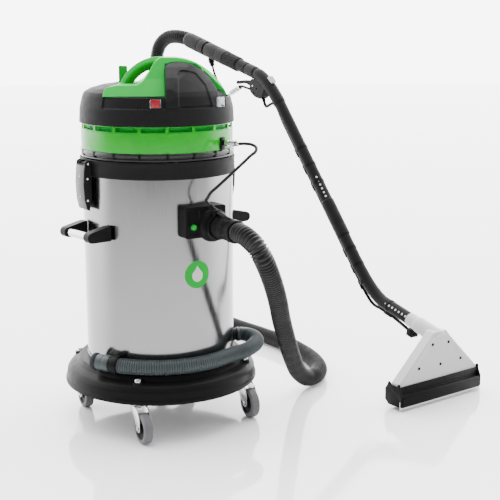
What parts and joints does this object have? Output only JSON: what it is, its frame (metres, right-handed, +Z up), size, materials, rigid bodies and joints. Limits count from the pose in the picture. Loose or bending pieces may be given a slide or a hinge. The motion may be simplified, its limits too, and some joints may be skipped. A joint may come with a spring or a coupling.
{
  "type": "spot extractor",
  "caption": "Wheeled spray extractor: steel recovery drum on a caster trolley, lift-off vacuum head with ring-shaped solution tank, hose and hand wand with floor tool.",
  "frame": {"origin": "on the floor, under the middle of the rigid machine and its propped wand, the hoses and what is on them left out", "axes": "+Z up; the operator's view of the switch looks along +Y; the wand's tool stands on the floor on the +X side and its grip leans back along +Y"},
  "size_m": [1.1948, 1.6716, 1.0376],
  "materials": {
    "black_plastic": "fine-textured black moulding",
    "head_plastic": "satin dark grey-black moulding",
    "green_plastic": "glossy green moulding",
    "green_tank": "translucent green moulding, bright at its edges",
    "clear_plastic": "clear greyish moulding",
    "stainless": "finely brushed stainless steel sheet",
    "bright_steel": "bright zinc or nickel plate",
    "grey_rubber": "grey caster tread",
    "hose_black": "black ribbed hose",
    "drain_grey": "slate grey ribbed hose",
    "red_plastic": "translucent red moulding",
    "tool_white": "light grey moulding",
    "motor_grey": "grey painted motor casing",
    "brass": "plated brass"
  },
  "bodies": {
    "machine": {"base_dish": "black_plastic", "caster_1_stem": "bright_steel", "caster_2_stem": "bright_steel", "caster_3_stem": "bright_steel", "caster_4_stem": "bright_steel", "drum": "stainless", "drum_band": "head_plastic", "handle_left_arm_a": "black_plastic", "handle_left_arm_b": "black_plastic", "handle_left_bar": "bright_steel", "handle_right_arm_a": "black_plastic", "handle_right_arm_b": "black_plastic", "handle_right_bar": "bright_steel", "inlet_flange": "black_plastic", "drain_outlet": "black_plastic", "drain_hose": "drain_grey", "hose_clip": "black_plastic", "ring_coupler": "brass", "solution_lead": "hose_black", "wand_grip": "head_plastic", "upper_tube": "black_plastic", "lower_tube": "black_plastic", "valve_body": "head_plastic", "solution_pipe": "black_plastic", "tool_body": "tool_white", "tool_base": "black_plastic", "lip_blade": "bright_steel", "wand_coupler": "brass", "wand_lead": "hose_black", "suction_hose": "hose_black"},
    "head": {"head_plate": "clear_plastic", "tank_ring": "green_tank", "motor": "motor_grey", "float_cage": "black_plastic", "solution_pump": "motor_grey", "head_housing": "head_plastic", "top_cover": "green_plastic", "ring_nipple": "black_plastic"},
    "fan_rotor": {"fan": "stainless"},
    "float": {"float_ball": "red_plastic"},
    "power_switch": {"rocker_switch": "red_plastic"},
    "socket_lid": {"socket_flap": "clear_plastic"},
    "latch_l": {"latch_left": "head_plastic"},
    "latch_r": {"latch_right": "head_plastic"},
    "inlet_release": {"release_button": "green_plastic"},
    "inlet_swivel": {"inlet_cuff": "black_plastic"},
    "wand_swivel": {"wand_cuff": "black_plastic"},
    "drain_stopper": {"drain_cap": "drain_grey"},
    "ring_collar": {"ring_coupler_collar": "bright_steel"},
    "wand_collar": {"wand_coupler_collar": "bright_steel"},
    "trigger": {"trigger_lever": "black_plastic"},
    "bleed_slide": {"relief_slider": "tool_white"},
    "caster_1_swivel": {"caster_1_fork": "bright_steel"},
    "caster_1_roll": {"caster_1_wheel": "grey_rubber"},
    "caster_2_swivel": {"caster_2_fork": "bright_steel"},
    "caster_2_roll": {"caster_2_wheel": "grey_rubber"},
    "caster_3_swivel": {"caster_3_fork": "bright_steel"},
    "caster_3_roll": {"caster_3_wheel": "grey_rubber"},
    "caster_4_swivel": {"caster_4_fork": "bright_steel"},
    "caster_4_roll": {"caster_4_wheel": "grey_rubber"}
  },
  "joints": [
    {"name": "caster_1_turn", "type": "hinge", "parent": "machine", "child": "caster_1_swivel", "pos_m": [-0.3974, -0.61523, 0.095], "axis": [0, 0, 1], "continuous": true},
    {"name": "caster_1_spin", "type": "hinge", "parent": "caster_1_swivel", "child": "caster_1_roll", "pos_m": [-0.38428, -0.64768, 0.03939], "axis": [0.9272, 0.3746, 0], "continuous": true},
    {"name": "caster_2_turn", "type": "hinge", "parent": "machine", "child": "caster_2_swivel", "pos_m": [-0.11081, -0.44977, 0.095], "axis": [0, 0, 1], "continuous": true},
    {"name": "caster_2_spin", "type": "hinge", "parent": "caster_2_swivel", "child": "caster_2_roll", "pos_m": [-0.0977, -0.48222, 0.03939], "axis": [0.9272, 0.3746, 0], "continuous": true},
    {"name": "caster_3_turn", "type": "hinge", "parent": "machine", "child": "caster_3_swivel", "pos_m": [-0.27627, -0.16317, 0.095], "axis": [0, 0, 1], "continuous": true},
    {"name": "caster_3_spin", "type": "hinge", "parent": "caster_3_swivel", "child": "caster_3_roll", "pos_m": [-0.26316, -0.19563, 0.03939], "axis": [0.9272, 0.3746, 0], "continuous": true},
    {"name": "caster_4_turn", "type": "hinge", "parent": "machine", "child": "caster_4_swivel", "pos_m": [-0.56286, -0.32864, 0.095], "axis": [0, 0, 1], "continuous": true},
    {"name": "caster_4_spin", "type": "hinge", "parent": "caster_4_swivel", "child": "caster_4_roll", "pos_m": [-0.54975, -0.36109, 0.03939], "axis": [0.9272, 0.3746, 0], "continuous": true},
    {"name": "head_lift", "type": "slide", "parent": "machine", "child": "head", "axis": [0, 0, 1], "range_m": [0, 0.28]},
    {"name": "fan_spin", "type": "hinge", "parent": "head", "child": "fan_rotor", "pos_m": [-0.33683, -0.3892, 0.74], "axis": [0, 0, 1], "continuous": true},
    {"name": "float_rise", "type": "slide", "parent": "head", "child": "float", "axis": [0, 0, 1], "range_m": [0, 0.03]},
    {"name": "switch_rock", "type": "hinge", "parent": "head", "child": "power_switch", "pos_m": [-0.3402, -0.58217, 0.857], "axis": [0, 0, 1], "range_deg": [0, 16]},
    {"name": "socket_lid_hinge", "type": "hinge", "parent": "head", "child": "socket_lid", "pos_m": [-0.17014, -0.50592, 0.8433], "axis": [0.5736, 0.8192, 0], "range_deg": [0, 80], "stiffness_Nm_per_rad": 0.01, "springref_deg": -22.92},
    {"name": "latch_l_hinge", "type": "hinge", "parent": "machine", "child": "latch_l", "pos_m": [-0.52578, -0.48967, 0.702], "axis": [-0.4695, 0.8829, 0], "range_deg": [0, 100]},
    {"name": "latch_r_hinge", "type": "hinge", "parent": "machine", "child": "latch_r", "pos_m": [-0.14788, -0.28873, 0.702], "axis": [0.4695, -0.8829, 0], "range_deg": [0, 100]},
    {"name": "release_press", "type": "slide", "parent": "machine", "child": "inlet_release", "axis": [-0.4431, 0.8965, 0], "range_m": [0, 0.003], "stiffness_N_per_m": 300, "springref_m": -0.002},
    {"name": "inlet_cuff_turn", "type": "hinge", "parent": "machine", "child": "inlet_swivel", "pos_m": [-0.1681, -0.6516, 0.553], "axis": [0.4431, -0.8965, 0], "continuous": true},
    {"name": "wand_cuff_turn", "type": "hinge", "parent": "machine", "child": "wand_swivel", "pos_m": [-0.15125, 0.58818, 0.9699], "axis": [-0.5052, 0.8244, 0.2552], "continuous": true},
    {"name": "drain_stopper_pull", "type": "slide", "parent": "machine", "child": "drain_stopper", "axis": [-0.8339, 0.5519, 0], "range_m": [0, 0.04]},
    {"name": "ring_collar_slide", "type": "slide", "parent": "machine", "child": "ring_collar", "axis": [-0.8192, 0.5736, 0], "range_m": [0, 0.004], "stiffness_N_per_m": 200, "springref_m": -0.002},
    {"name": "wand_collar_slide", "type": "slide", "parent": "machine", "child": "wand_collar", "axis": [0.4801, -0.7835, 0.3946], "range_m": [0, 0.004], "stiffness_N_per_m": 200, "springref_m": -0.002},
    {"name": "trigger_squeeze", "type": "hinge", "parent": "machine", "child": "trigger", "pos_m": [-0.00386, 0.34765, 0.854], "axis": [0.8526, 0.5225, 0], "range_deg": [0, 12], "stiffness_Nm_per_rad": 0.6, "springref_deg": -14.32},
    {"name": "bleed_slide_move", "type": "slide", "parent": "machine", "child": "bleed_slide", "axis": [-0.4083, 0.6663, 0.6239], "range_m": [0, 0.008]}
  ]
}
